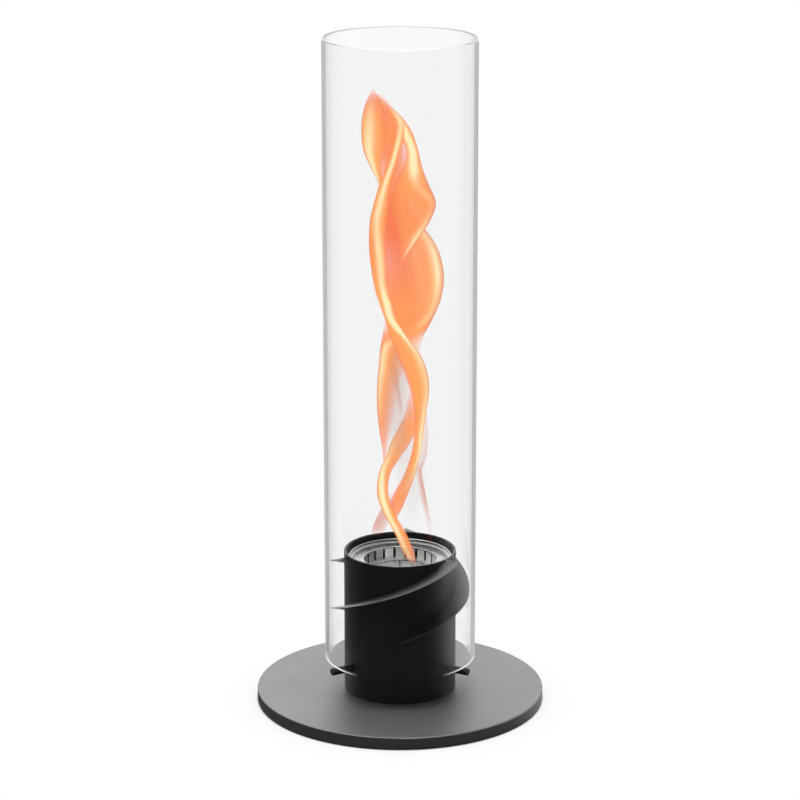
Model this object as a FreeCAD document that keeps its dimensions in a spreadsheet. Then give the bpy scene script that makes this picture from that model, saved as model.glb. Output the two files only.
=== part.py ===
import FreeCAD, Part
import Sketcher
import math
import os

# A tabletop fireplace: a round base plate, a finned housing tube with a burner
# in it, and a glass chimney that stands on three pins.
# Millimetres and degrees. +Z is up, the floor is at zero, and the front is -Y.

doc = FreeCAD.newDocument("TabletopFireplace")

# Driving dimensions
SIZES = {
    # base plate, with pads let into its underside
    "base_diameter": 229.0,
    "base_thickness": 9.5,
    "base_edge_round": 0.9,
    "foot_count": 4,
    "foot_diameter": 20.0,
    "foot_thickness": 1.8,
    "foot_recess_depth": 1.0,
    "foot_inset": 22.0,
    "foot_edge_round": 0.3,
    # countersunk screws that hold the housing down
    "screw_count": 3,
    "screw_diameter": 5.0,
    "screw_head_diameter": 9.6,
    "screw_end_gap": 2.5,
    "screw_inset": 16.5,
    "screw_hole_clearance": 0.25,
    "screw_socket_width": 3.0,
    "screw_socket_depth": 1.9,
    # housing tube and the disc in its foot
    "housing_wall": 2.0,
    "housing_height": 115.0,
    "housing_rim_round": 0.6,
    "floor_thickness": 6.0,
    # screw-shaped air vanes
    "vane_count": 3,
    "vane_lead": 120.0,
    "vane_rise": 58.6,
    "vane_width": 11.0,
    "vane_root_thickness": 2.4,
    "vane_tip_thickness": 0.9,
    "vane_glass_gap": 1.5,
    "vane_start_angle": 30.0,
    # pins that carry the glass outside and the burner inside
    "pin_count": 3,
    "pin_diameter": 6.0,
    "pin_overhang": 2.5,
    "pin_inner_reach": 8.0,
    "pin_edge_bevel": 0.4,
    "pin_start_angle": 90.0,
    # glass chimney
    "glass_diameter": 120.0,
    "glass_wall": 3.0,
    "glass_length": 497.5,
    "glass_foot_gap": 25.5,
    "glass_edge_round": 0.9,
    # burner can with its folded rim
    "can_side_gap": 1.5,
    "can_wall": 0.8,
    "can_corner_round": 3.0,
    "can_rim_drop": 4.6,
    "can_hem_height": 3.0,
    "can_hem_round": 0.5,
    # burner lid with its collar of bent tabs
    "lid_thickness": 0.8,
    "lid_width": 11.6,
    "lid_skirt_height": 6.0,
    "lid_bend_round": 0.5,
    "tab_count": 20,
    "tab_drop": 9.2,
    "tab_slot_width": 1.4,
    "tab_slot_start_angle": 9.0,
    # mesh disc and the ring that holds its edge
    "ring_width": 4.4,
    "ring_overlap": 1.6,
    "ring_thickness": 0.6,
    "mesh_thickness": 0.7,
    "mesh_pitch": 2.4,
    "mesh_hole_diameter": 1.5,
    # eyelet, float tube, float and level pin
    "grommet_diameter": 10.3,
    "grommet_bore": 7.8,
    "grommet_lip_height": 0.8,
    "grommet_lip_round": 0.35,
    "grommet_neck_wall": 0.6,
    "grommet_neck_length": 3.5,
    "tube_wall": 0.6,
    "tube_inlet_diameter": 3.0,
    "tube_inlet_count": 3,
    "float_length": 22.0,
    "float_travel": 12.0,
    "float_edge_round": 0.6,
    "float_side_gap": 0.3,
    "stem_diameter": 1.9,
    "stem_height": 8.6,
    "needle_diameter": 1.1,
    "needle_height": 10.3,
    "needle_tip_round": 0.3,
    "stem_depth": 8.0,
    # fits
    "weld_gap": 0.04,
    "press_gap": 0.04,
    "seat_gap": 0.25,
    "wool_side_gap": 0.4,
    "cut_overrun": 2.0,
}

# Levels and radii that follow from the driving dimensions
DERIVED = {
    "base_bottom": "Sizes.foot_thickness - Sizes.foot_recess_depth",
    "base_top": "base_bottom + Sizes.base_thickness",
    "foot_circle_radius": "Sizes.base_diameter / 2 - Sizes.foot_inset",
    "glass_inner_radius": "Sizes.glass_diameter / 2 - Sizes.glass_wall",
    "glass_bottom": "base_top + Sizes.glass_foot_gap",
    "vane_tip_radius": "glass_inner_radius - Sizes.vane_glass_gap",
    "housing_radius": "vane_tip_radius - Sizes.vane_width",
    "housing_inner_radius": "housing_radius - Sizes.housing_wall",
    "housing_top": "base_top + Sizes.housing_height",
    "vane_root_radius": "housing_radius + Sizes.weld_gap",
    "vane_bottom": "housing_top - Sizes.vane_root_thickness - Sizes.vane_rise",
    "screw_circle_radius": "housing_inner_radius - Sizes.screw_inset",
    "screw_hole_radius": "Sizes.screw_diameter / 2 + Sizes.screw_hole_clearance",
    "screw_head_height": "(Sizes.screw_head_diameter - Sizes.screw_diameter) / 2",
    "screw_length": "Sizes.base_thickness + Sizes.floor_thickness - Sizes.screw_end_gap",
    "pin_axis_height": "glass_bottom - Sizes.seat_gap - Sizes.pin_diameter / 2",
    "pin_tip_radius": "Sizes.glass_diameter / 2 + Sizes.pin_overhang",
    "pin_inner_radius": "housing_inner_radius - Sizes.pin_inner_reach",
    "pin_bore_radius": "Sizes.pin_diameter / 2 + Sizes.press_gap",
    "can_bottom": "glass_bottom",
    "can_top": "housing_top - Sizes.can_rim_drop",
    "can_height": "can_top - can_bottom",
    "can_radius": "housing_inner_radius - Sizes.can_side_gap",
    "can_inner_radius": "can_radius - Sizes.can_wall",
    "can_hem_radius": "can_radius - 2 * Sizes.can_wall",
    "lid_outer_radius": "can_inner_radius - Sizes.weld_gap",
    "lid_top": "can_top - Sizes.can_hem_height - Sizes.weld_gap",
    "throat_radius": "lid_outer_radius - Sizes.lid_width",
    "collar_radius": "throat_radius + Sizes.lid_thickness",
    "collar_bottom": "lid_top - Sizes.tab_drop",
    "ring_inner_radius": "throat_radius - Sizes.ring_width",
    "ring_outer_radius": "collar_radius + Sizes.ring_overlap",
    "mesh_top": "collar_bottom - Sizes.ring_thickness",
    "wool_top": "mesh_top - Sizes.mesh_thickness",
    "grommet_neck_radius": "Sizes.grommet_bore / 2 + Sizes.grommet_neck_wall",
    "grommet_bottom": "mesh_top - Sizes.grommet_neck_length",
    "tube_inner_radius": "grommet_neck_radius + Sizes.press_gap",
    "tube_outer_radius": "tube_inner_radius + Sizes.tube_wall",
    "float_radius": "tube_inner_radius - Sizes.float_side_gap",
    "float_top": "grommet_bottom - Sizes.float_travel - Sizes.seat_gap",
    "float_bottom": "float_top - Sizes.float_length",
    "tube_bottom": "float_bottom - Sizes.tube_wall",
    "stem_bore_radius": "Sizes.stem_diameter / 2 + Sizes.press_gap",
}

FULL_TURN = 360
SOCKET_SIDES = 6
# How close an edge has to be to a place to be the edge meant
EDGE_MATCH = 1e-4


def fill_sheet(name, cells):
    """A sheet with one named cell for each entry."""
    sheet = doc.addObject("Spreadsheet::Sheet", name)
    for row, (alias, content) in enumerate(cells.items(), start=1):
        sheet.set(f"A{row}", alias)
        sheet.set(f"B{row}", content)
        sheet.setAlias(f"B{row}", alias)
    return sheet


sizes = fill_sheet("Sizes", {name: str(value) for name, value in SIZES.items()})
doc.recompute()
fill_sheet("Derived", {name: "=" + formula for name, formula in DERIVED.items()})
doc.recompute()


def size(expression):
    """The present value of an expression over the two sheets."""
    return float(sizes.evalExpression(expression))


# Helpers for bodies and sketches
def new_body(label, level="0"):
    """A body that stands at a level above the floor."""
    body = doc.addObject("PartDesign::Body", label)
    body.setExpression("Placement.Base.z", level)
    return body


def turn(body, angle):
    """Turns a body about the upright axis."""
    body.setExpression("Placement.Rotation.Angle", angle)


def move_out(body, radius, angle):
    """Moves a body out from the upright axis, towards an angle."""
    body.setExpression("Placement.Base.x", f"{radius} * cos({angle})")
    body.setExpression("Placement.Base.y", f"{radius} * sin({angle})")


def new_sketch(body, name, role):
    """An empty sketch on one of the body's own origin planes."""
    sketch = body.newObject("Sketcher::SketchObject", name)
    plane = next(item for item in body.Origin.OriginFeatures if item.Role == role)
    sketch.AttachmentSupport = [(plane, "")]
    sketch.MapMode = "FlatFace"
    return sketch


def bind(sketch, index, name, expression):
    """Names a constraint and binds it to an expression."""
    sketch.renameConstraint(index, name)
    sketch.setExpression(f"Constraints.{name}", expression)


def fix_point(sketch, edge, end, name, across, up):
    """Holds one end of an edge at its distances from the sketch's origin."""
    for axis, expression, on_axis in (("X", across, -2), ("Y", up, -1)):
        value = size(expression)
        if abs(value) < EDGE_MATCH:
            sketch.addConstraint(Sketcher.Constraint("PointOnObject", edge, end, on_axis))
            continue
        ends = (-1, 1, edge, end)
        if value < 0:
            ends = (edge, end, -1, 1)
            expression = f"-({expression})"
        rule = Sketcher.Constraint(f"Distance{axis}", *ends, abs(value))
        bind(sketch, sketch.addConstraint(rule), f"{name}_{axis.lower()}", expression)


def outline(body, name, role, corners):
    """A closed sketch of straight edges through corners given as expressions."""
    sketch = new_sketch(body, name, role)
    points = [FreeCAD.Vector(size(across), size(up), 0) for across, up in corners]
    count = len(points)
    for i in range(count):
        sketch.addGeometry(Part.LineSegment(points[i], points[(i + 1) % count]))
    for i in range(count):
        sketch.addConstraint(Sketcher.Constraint("Coincident", i, 2, (i + 1) % count, 1))
    for i, (across, up) in enumerate(corners):
        fix_point(sketch, i, 1, f"corner_{i}", across, up)
    return sketch


def circle(body, name, role, across, up, radius):
    """A sketch of one circle."""
    sketch = new_sketch(body, name, role)
    centre = FreeCAD.Vector(size(across), size(up), 0)
    sketch.addGeometry(Part.Circle(centre, FreeCAD.Vector(0, 0, 1), size(radius)))
    fix_point(sketch, 0, 3, "centre", across, up)
    rule = Sketcher.Constraint("Radius", 0, size(radius))
    bind(sketch, sketch.addConstraint(rule), "radius", radius)
    return sketch


def revolve(body, name, corners, axis="V_Axis"):
    """Turns an outline in the XZ plane about the upright axis, or about another of its axes."""
    sketch = outline(body, f"{name}_section", "XZ_Plane", corners)
    feature = body.newObject("PartDesign::Revolution", name)
    feature.Profile = sketch
    feature.ReferenceAxis = (sketch, [axis])
    feature.Angle = FULL_TURN
    doc.recompute()
    return feature


def cut_along(body, name, sketch, length, forward):
    """Cuts a sketch into the body, along its normal if forward, or else against it."""
    before = body.Shape.Volume
    feature = body.newObject("PartDesign::Pocket", name)
    feature.Profile = sketch
    feature.setExpression("Length", length)
    feature.Reversed = forward
    doc.recompute()
    if feature.Shape.Volume >= before:
        raise RuntimeError(f"{body.Label}: {name} cuts nothing")
    return feature


def repeat(body, name, feature, sketch, axis, count):
    """Repeats a feature evenly about one of its sketch's axes."""
    pattern = body.newObject("PartDesign::PolarPattern", name)
    pattern.Originals = [feature]
    pattern.Axis = (sketch, [axis])
    pattern.Angle = FULL_TURN
    pattern.setExpression("Occurrences", count)
    body.Tip = pattern
    doc.recompute()
    return pattern


def rims(feature, radius, height):
    """Names of a feature's round edges of one radius at one height in its body."""
    found = []
    for number, edge in enumerate(feature.Shape.Edges, start=1):
        if not isinstance(edge.Curve, Part.Circle):
            continue
        off_radius = abs(edge.Curve.Radius - size(radius))
        off_height = abs(edge.Curve.Center.z - size(height))
        if max(off_radius, off_height) < EDGE_MATCH:
            found.append(f"Edge{number}")
    return found


def dress(body, kind, name, feature, places, amount):
    """Rounds or bevels the round edges at the given radii and heights."""
    edges = [edge for place in places for edge in rims(feature, *place)]
    if len(edges) < len(places):
        raise RuntimeError(f"{body.Label}: {name} misses an edge")
    finish = body.newObject(f"PartDesign::{kind}", name)
    finish.Base = (feature, edges)
    finish.setExpression("Radius" if kind == "Fillet" else "Size", amount)
    doc.recompute()
    return finish


def spread(index, count, start="0"):
    """The angle of one of several evenly spaced places."""
    return f"{start} * 1 deg + {FULL_TURN} deg * {index} / {count}"


def count_of(name):
    return int(size(f"Sizes.{name}"))


# Base plate: recesses for the pads and countersunk holes for the screws below
def make_base_plate():
    body = new_body("base_plate", "Derived.base_bottom")
    radius = "Sizes.base_diameter / 2"
    top = "Sizes.base_thickness"
    disc = revolve(body, "plate", [("0", "0"), (radius, "0"), (radius, top), ("0", top)])
    dress(body, "Fillet", "plate_edges", disc, [(radius, "0"), (radius, top)], "Sizes.base_edge_round")

    foot_radius = "Sizes.foot_diameter / 2 + Sizes.press_gap"
    recess = circle(body, "recess_place", "XY_Plane", "Derived.foot_circle_radius", "0", foot_radius)
    cut = cut_along(body, "recess", recess, "Sizes.foot_recess_depth", True)
    repeat(body, "recesses", cut, recess, "N_Axis", "Sizes.foot_count")

    hole_radius = "Derived.screw_hole_radius"
    hole = circle(body, "hole_place", "XY_Plane", "Derived.screw_circle_radius", "0", hole_radius)
    cut = cut_along(body, "hole", hole, "Sizes.base_thickness + Sizes.cut_overrun", True)
    holes = repeat(body, "holes", cut, hole, "N_Axis", "Sizes.screw_count")
    dress(body, "Chamfer", "countersinks", holes, [(hole_radius, "0")], "Derived.screw_head_height")
    return body


# Rubber pads: let into the plate, standing a little proud of it
def make_rubber_foot(index):
    body = new_body(f"rubber_foot_{index + 1}")
    radius = "Sizes.foot_diameter / 2"
    top = "Sizes.foot_thickness"
    pad = revolve(body, "pad", [("0", "0"), (radius, "0"), (radius, top), ("0", top)])
    dress(body, "Fillet", "pad_edge", pad, [(radius, "0")], "Sizes.foot_edge_round")
    move_out(body, "Derived.foot_circle_radius", spread(index, "Sizes.foot_count"))
    return body


# Screws: flush with the underside of the plate, heads down
def make_base_screw(index):
    body = new_body(f"base_screw_{index + 1}", "Derived.base_bottom")
    shank = "Sizes.screw_diameter / 2"
    corners = [
        ("0", "0"),
        ("Sizes.screw_head_diameter / 2", "0"),
        (shank, "Derived.screw_head_height"),
        (shank, "Derived.screw_length"),
        ("0", "Derived.screw_length"),
    ]
    revolve(body, "screw", corners)
    reach = "Sizes.screw_socket_width / sqrt(3)"
    angles = [spread(corner, SOCKET_SIDES) for corner in range(SOCKET_SIDES)]
    corners = [(f"{reach} * cos({angle})", f"{reach} * sin({angle})") for angle in angles]
    socket = outline(body, "socket_place", "XY_Plane", corners)
    cut_along(body, "socket", socket, "Sizes.screw_socket_depth", True)
    move_out(body, "Derived.screw_circle_radius", spread(index, "Sizes.screw_count"))
    return body


def make_base_screws():
    group = doc.addObject("Part::Compound", "base_screws")
    group.Links = [make_base_screw(index) for index in range(count_of("screw_count"))]
    doc.recompute()
    return group


# Housing: a tube with bores for the pins, and a tapped disc in its foot
def make_housing_sleeve():
    body = new_body("housing_sleeve", "Derived.base_top")
    inner = "Derived.housing_inner_radius"
    outer = "Derived.housing_radius"
    top = "Sizes.housing_height"
    tube = revolve(body, "tube", [(inner, "0"), (outer, "0"), (outer, top), (inner, top)])
    dress(body, "Fillet", "rim", tube, [(inner, top), (outer, top)], "Sizes.housing_rim_round")

    height = "Derived.pin_axis_height - Derived.base_top"
    bore = circle(body, "bore_place", "YZ_Plane", "0", height, "Derived.pin_bore_radius")
    cut = cut_along(body, "bore", bore, f"{outer} + Sizes.cut_overrun", True)
    repeat(body, "bores", cut, bore, "V_Axis", "Sizes.pin_count")
    turn(body, spread(0, "Sizes.pin_count", "Sizes.pin_start_angle"))
    return body


def make_housing_floor():
    body = new_body("housing_floor", "Derived.base_top")
    radius = "Derived.housing_inner_radius - Sizes.weld_gap"
    top = "Sizes.floor_thickness"
    revolve(body, "disc", [("0", "0"), (radius, "0"), (radius, top), ("0", top)])
    thread = "Sizes.screw_diameter / 2 + Sizes.press_gap"
    hole = circle(body, "thread_place", "XY_Plane", "Derived.screw_circle_radius", "0", thread)
    cut = cut_along(body, "thread", hole, "Sizes.floor_thickness + Sizes.cut_overrun", True)
    repeat(body, "threads", cut, hole, "N_Axis", "Sizes.screw_count")
    return body


# Air vanes: wedge sections wound up the housing to its rim
def make_air_vane(index):
    body = new_body(f"air_vane_{index + 1}", "Derived.vane_bottom")
    root = "Derived.vane_root_radius"
    tip = "Derived.vane_tip_radius"
    tip_low = "(Sizes.vane_root_thickness - Sizes.vane_tip_thickness) / 2"
    tip_high = "(Sizes.vane_root_thickness + Sizes.vane_tip_thickness) / 2"
    corners = [(root, "0"), (tip, tip_low), (tip, tip_high), (root, "Sizes.vane_root_thickness")]
    section = outline(body, "vane_section", "XZ_Plane", corners)
    sweep = body.newObject("PartDesign::AdditiveHelix", "vane")
    sweep.Profile = section
    sweep.ReferenceAxis = (section, ["V_Axis"])
    sweep.Mode = "pitch-height-angle"
    sweep.setExpression("Pitch", "Sizes.vane_lead")
    sweep.setExpression("Height", "Sizes.vane_rise")
    turn(body, spread(index, "Sizes.vane_count", "Sizes.vane_start_angle"))
    doc.recompute()
    return body


# Pins: pressed through the housing wall, lying flat and pointing outwards
def make_glass_pin(index):
    body = new_body(f"glass_pin_{index + 1}", "Derived.pin_axis_height")
    inner = "Derived.pin_inner_radius"
    tip = "Derived.pin_tip_radius"
    radius = "Sizes.pin_diameter / 2"
    corners = [
        (inner, "0"),
        (tip, "0"),
        (tip, f"{radius} - Sizes.pin_edge_bevel"),
        (f"{tip} - Sizes.pin_edge_bevel", radius),
        (f"{inner} + Sizes.pin_edge_bevel", radius),
        (inner, f"{radius} - Sizes.pin_edge_bevel"),
    ]
    revolve(body, "pin", corners, "H_Axis")
    turn(body, spread(index, "Sizes.pin_count", "Sizes.pin_start_angle"))
    return body


# Glass chimney: an open tube with fire-rounded ends
def make_glass_cylinder():
    body = new_body("glass_cylinder", "Derived.glass_bottom")
    inner = "Derived.glass_inner_radius"
    outer = "Sizes.glass_diameter / 2"
    top = "Sizes.glass_length"
    tube = revolve(body, "tube", [(inner, "0"), (outer, "0"), (outer, top), (inner, top)])
    ends = [(inner, "0"), (outer, "0"), (inner, top), (outer, top)]
    dress(body, "Fillet", "ends", tube, ends, "Sizes.glass_edge_round")
    return body


# Burner can: a drawn cup whose rim is folded in to a hem
def make_burner_can():
    body = new_body("burner_can", "Derived.can_bottom")
    outer = "Derived.can_radius"
    inner = "Derived.can_inner_radius"
    hem = "Derived.can_hem_radius"
    top = "Derived.can_height"
    hem_foot = "Derived.can_height - Sizes.can_hem_height"
    corners = [
        ("0", "0"),
        (outer, "0"),
        (outer, top),
        (hem, top),
        (hem, hem_foot),
        (inner, hem_foot),
        (inner, "Sizes.can_wall"),
        ("0", "Sizes.can_wall"),
    ]
    cup = revolve(body, "cup", corners)
    cup = dress(body, "Fillet", "outer_corner", cup, [(outer, "0")], "Sizes.can_corner_round")
    inner_round = "Sizes.can_corner_round - Sizes.can_wall"
    cup = dress(body, "Fillet", "inner_corner", cup, [(inner, "Sizes.can_wall")], inner_round)
    dress(body, "Fillet", "hem", cup, [(outer, top), (hem, top)], "Sizes.can_hem_round")
    return body


# Burner lid: a pressed ring with a skirt outside and a slotted collar inside
def make_burner_lid():
    body = new_body("burner_lid", "Derived.collar_bottom")
    throat = "Derived.throat_radius"
    collar = "Derived.collar_radius"
    edge = "Derived.lid_outer_radius"
    skirt = "Derived.lid_outer_radius - Sizes.lid_thickness"
    top = "Sizes.tab_drop"
    under = "Sizes.tab_drop - Sizes.lid_thickness"
    skirt_foot = "Sizes.tab_drop - Sizes.lid_skirt_height"
    corners = [
        (throat, "0"),
        (collar, "0"),
        (collar, under),
        (skirt, under),
        (skirt, skirt_foot),
        (edge, skirt_foot),
        (edge, top),
        (throat, top),
    ]
    pressing = revolve(body, "pressing", corners)
    dress(body, "Fillet", "bends", pressing, [(throat, top), (edge, top)], "Sizes.lid_bend_round")

    near = f"{throat} - Sizes.cut_overrun"
    far = f"{collar} + Sizes.cut_overrun"
    half = "Sizes.tab_slot_width / 2"
    corners = [(near, f"-{half}"), (far, f"-{half}"), (far, half), (near, half)]
    slot = outline(body, "slot_place", "XY_Plane", corners)
    cut = cut_along(body, "slot", slot, under, True)
    repeat(body, "slots", cut, slot, "N_Axis", "Sizes.tab_count")
    turn(body, spread(0, "Sizes.tab_count", "Sizes.tab_slot_start_angle"))
    return body


# Mesh: a holed disc under a plain ring
def make_mesh_ring():
    body = new_body("mesh_ring", "Derived.mesh_top")
    inner = "Derived.ring_inner_radius"
    outer = "Derived.ring_outer_radius"
    top = "Sizes.ring_thickness"
    revolve(body, "ring", [(inner, "0"), (outer, "0"), (outer, top), (inner, top)])
    return body


def mesh_places(pitch, inner, outer):
    """Centres of a staggered pattern of holes between two radii."""
    row_step = pitch * math.sqrt(3) / 2
    rows = math.ceil(outer / row_step)
    columns = math.ceil(outer / pitch)
    for row in range(-rows, rows + 1):
        shift = pitch / 2 * (row % 2)
        for column in range(-columns, columns + 1):
            place = FreeCAD.Vector(column * pitch + shift, row * row_step, 0)
            if inner <= place.Length <= outer:
                yield place


def make_burner_mesh():
    thickness = size("Sizes.mesh_thickness")
    hole = size("Sizes.mesh_hole_diameter / 2")
    neck = size("Derived.grommet_neck_radius + Sizes.press_gap")
    lip = size("Sizes.grommet_diameter / 2")
    inside = size("Derived.ring_inner_radius")
    edge = size("Derived.ring_outer_radius")
    up = FreeCAD.Vector(0, 0, 1)

    def loop(centre, radius):
        return Part.Wire(Part.Circle(centre, up, radius).toShape())

    places = mesh_places(size("Sizes.mesh_pitch"), lip + hole, inside - hole)
    loops = [loop(FreeCAD.Vector(), edge), loop(FreeCAD.Vector(), neck)]
    loops += [loop(place, hole) for place in places]
    sheet_face = Part.Face(loops, "Part::FaceMakerBullseye")
    mesh = doc.addObject("Part::Feature", "burner_mesh")
    mesh.Shape = sheet_face.extrude(up * thickness)
    mesh.setExpression("Placement.Base.z", "Derived.wool_top")
    doc.recompute()
    return mesh


# Absorbent filling, with a blind bore for the float tube
def make_ceramic_wool():
    body = new_body("ceramic_wool", "Derived.can_bottom + Sizes.can_wall")
    radius = "Derived.can_inner_radius - Sizes.wool_side_gap"
    bore = "Derived.tube_outer_radius + Sizes.wool_side_gap"
    top = "Derived.wool_top - Derived.can_bottom - Sizes.can_wall"
    bore_floor = "Derived.tube_bottom - Sizes.wool_side_gap - Derived.can_bottom - Sizes.can_wall"
    corners = [
        ("0", "0"),
        (radius, "0"),
        (radius, top),
        (bore, top),
        (bore, bore_floor),
        ("0", bore_floor),
    ]
    block = revolve(body, "block", corners)
    dress(body, "Fillet", "foot", block, [(radius, "0")], "Sizes.can_corner_round - Sizes.can_wall")
    return body


# Level gauge: an eyelet, a closed tube under it, and a float with its pin
def make_port_grommet():
    body = new_body("port_grommet", "Derived.grommet_bottom")
    bore = "Sizes.grommet_bore / 2"
    neck = "Derived.grommet_neck_radius"
    lip = "Sizes.grommet_diameter / 2"
    shoulder = "Sizes.grommet_neck_length"
    top = "Sizes.grommet_neck_length + Sizes.grommet_lip_height"
    corners = [
        (bore, "0"),
        (neck, "0"),
        (neck, shoulder),
        (lip, shoulder),
        (lip, top),
        (bore, top),
    ]
    eyelet = revolve(body, "eyelet", corners)
    dress(body, "Fillet", "lip", eyelet, [(lip, top), (bore, top)], "Sizes.grommet_lip_round")
    return body


def make_gauge_tube():
    body = new_body("gauge_tube", "Derived.tube_bottom")
    inner = "Derived.tube_inner_radius"
    outer = "Derived.tube_outer_radius"
    top = "Derived.wool_top - Derived.tube_bottom"
    corners = [
        ("0", "0"),
        (outer, "0"),
        (outer, top),
        (inner, top),
        (inner, "Sizes.tube_wall"),
        ("0", "Sizes.tube_wall"),
    ]
    revolve(body, "cup", corners)
    height = "Sizes.tube_wall + Sizes.tube_inlet_diameter"
    inlet = circle(body, "inlet_place", "YZ_Plane", "0", height, "Sizes.tube_inlet_diameter / 2")
    cut = cut_along(body, "inlet", inlet, f"{outer} + Sizes.cut_overrun", True)
    repeat(body, "inlets", cut, inlet, "V_Axis", "Sizes.tube_inlet_count")
    return body


def make_level_float():
    body = new_body("level_float", "Derived.float_bottom")
    radius = "Derived.float_radius"
    bore = "Derived.stem_bore_radius"
    top = "Sizes.float_length"
    bore_floor = "Sizes.float_length - Sizes.stem_depth"
    corners = [
        ("0", "0"),
        (radius, "0"),
        (radius, top),
        (bore, top),
        (bore, bore_floor),
        ("0", bore_floor),
    ]
    cork = revolve(body, "cork", corners)
    dress(body, "Fillet", "edges", cork, [(radius, "0"), (radius, top)], "Sizes.float_edge_round")
    return body


def make_level_pin():
    body = new_body("level_pin", "Derived.float_top - Sizes.stem_depth")
    stem = "Sizes.stem_diameter / 2"
    needle = "Sizes.needle_diameter / 2"
    foot = "Derived.float_top - Sizes.stem_depth"
    stem_top = f"Derived.mesh_top + Sizes.stem_height - ({foot})"
    tip = f"Derived.mesh_top + Sizes.needle_height - ({foot})"
    corners = [
        ("0", "0"),
        (stem, "0"),
        (stem, stem_top),
        (needle, stem_top),
        (needle, tip),
        ("0", tip),
    ]
    wire = revolve(body, "wire", corners)
    dress(body, "Fillet", "tip", wire, [(needle, tip)], "Sizes.needle_tip_round")
    return body


def make_all():
    pieces = [make_base_plate(), make_base_screws(), make_housing_sleeve(), make_housing_floor()]
    pieces += [make_rubber_foot(index) for index in range(count_of("foot_count"))]
    pieces += [make_air_vane(index) for index in range(count_of("vane_count"))]
    pieces += [make_glass_pin(index) for index in range(count_of("pin_count"))]
    pieces += [make_glass_cylinder(), make_burner_can(), make_burner_lid(), make_mesh_ring()]
    pieces += [make_burner_mesh(), make_ceramic_wool(), make_port_grommet(), make_gauge_tube()]
    pieces += [make_level_float(), make_level_pin()]
    return pieces


def check(pieces):
    """Stops if any object failed to build, or any piece has no sound solid."""
    failed = [item.Label for item in doc.Objects if {"Invalid", "Error"} & set(item.State)]
    if failed:
        raise RuntimeError(f"failed to build: {failed}")
    for piece in pieces:
        shape = piece.Shape
        if shape.isNull() or not shape.isValid() or not shape.Solids:
            raise RuntimeError(f"{piece.Label} has no sound solid")


pieces = make_all()
doc.recompute()
check(pieces)
os.makedirs("parts", exist_ok=True)
for piece in pieces:
    piece.Shape.exportStep(f"parts/{piece.Label}.step")
    box = piece.Shape.BoundBox
    print(f"{piece.Label:16s} {piece.Shape.Volume:11.1f} mm3  z {box.ZMin:7.2f} to {box.ZMax:7.2f}")
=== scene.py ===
import math
from collections import namedtuple

import bmesh
import bpy
from mathutils import Matrix, Vector, noise


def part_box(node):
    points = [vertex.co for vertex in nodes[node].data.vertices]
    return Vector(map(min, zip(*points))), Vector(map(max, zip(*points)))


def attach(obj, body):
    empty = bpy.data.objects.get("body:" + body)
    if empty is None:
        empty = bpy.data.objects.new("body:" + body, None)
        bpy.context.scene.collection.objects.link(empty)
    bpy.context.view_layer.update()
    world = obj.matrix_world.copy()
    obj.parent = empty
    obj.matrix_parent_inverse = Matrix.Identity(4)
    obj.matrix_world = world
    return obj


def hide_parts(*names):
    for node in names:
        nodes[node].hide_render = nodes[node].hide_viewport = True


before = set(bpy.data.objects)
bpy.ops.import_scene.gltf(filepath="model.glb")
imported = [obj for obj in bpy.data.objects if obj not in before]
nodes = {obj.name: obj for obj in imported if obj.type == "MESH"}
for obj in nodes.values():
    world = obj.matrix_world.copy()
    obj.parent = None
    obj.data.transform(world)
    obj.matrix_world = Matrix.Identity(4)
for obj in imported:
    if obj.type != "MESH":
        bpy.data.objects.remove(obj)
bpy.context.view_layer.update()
scene = bpy.context.scene

MM = 0.001


# Shader maths
class Value:
    """A socket of a finish: arithmetic on it adds Math nodes."""

    def __init__(self, finish, socket):
        self.finish = finish
        self.socket = socket

    def maths(self, operation, *values):
        return self.finish.node("Math", {"operation": operation}, dict(enumerate(values)))

    def __add__(self, other):
        return self.maths("ADD", self, other)

    def __radd__(self, other):
        return self.maths("ADD", other, self)

    def __sub__(self, other):
        return self.maths("SUBTRACT", self, other)

    def __rsub__(self, other):
        return self.maths("SUBTRACT", other, self)

    def __mul__(self, other):
        return self.maths("MULTIPLY", self, other)

    def __rmul__(self, other):
        return self.maths("MULTIPLY", other, self)

    def least(self, other):
        return self.maths("MINIMUM", self, other)

    def fraction(self):
        return self.maths("FRACT", self)

    def root(self):
        return self.maths("SQRT", self)

    def angle(self, other):
        return self.maths("ARCTAN2", self, other)

    def rise(self, low, high):
        """0 up to low and 1 from high, with a smooth rise between them."""
        settings = {"interpolation_type": "SMOOTHSTEP"}
        return self.finish.node("MapRange", settings, {"Value": self, "From Min": low, "From Max": high})

    def apart(self, near, far):
        """0 up to near on both sides of zero and 1 from far, with a smooth rise between them."""
        return (self * self).rise(near * near, far * far)


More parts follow.
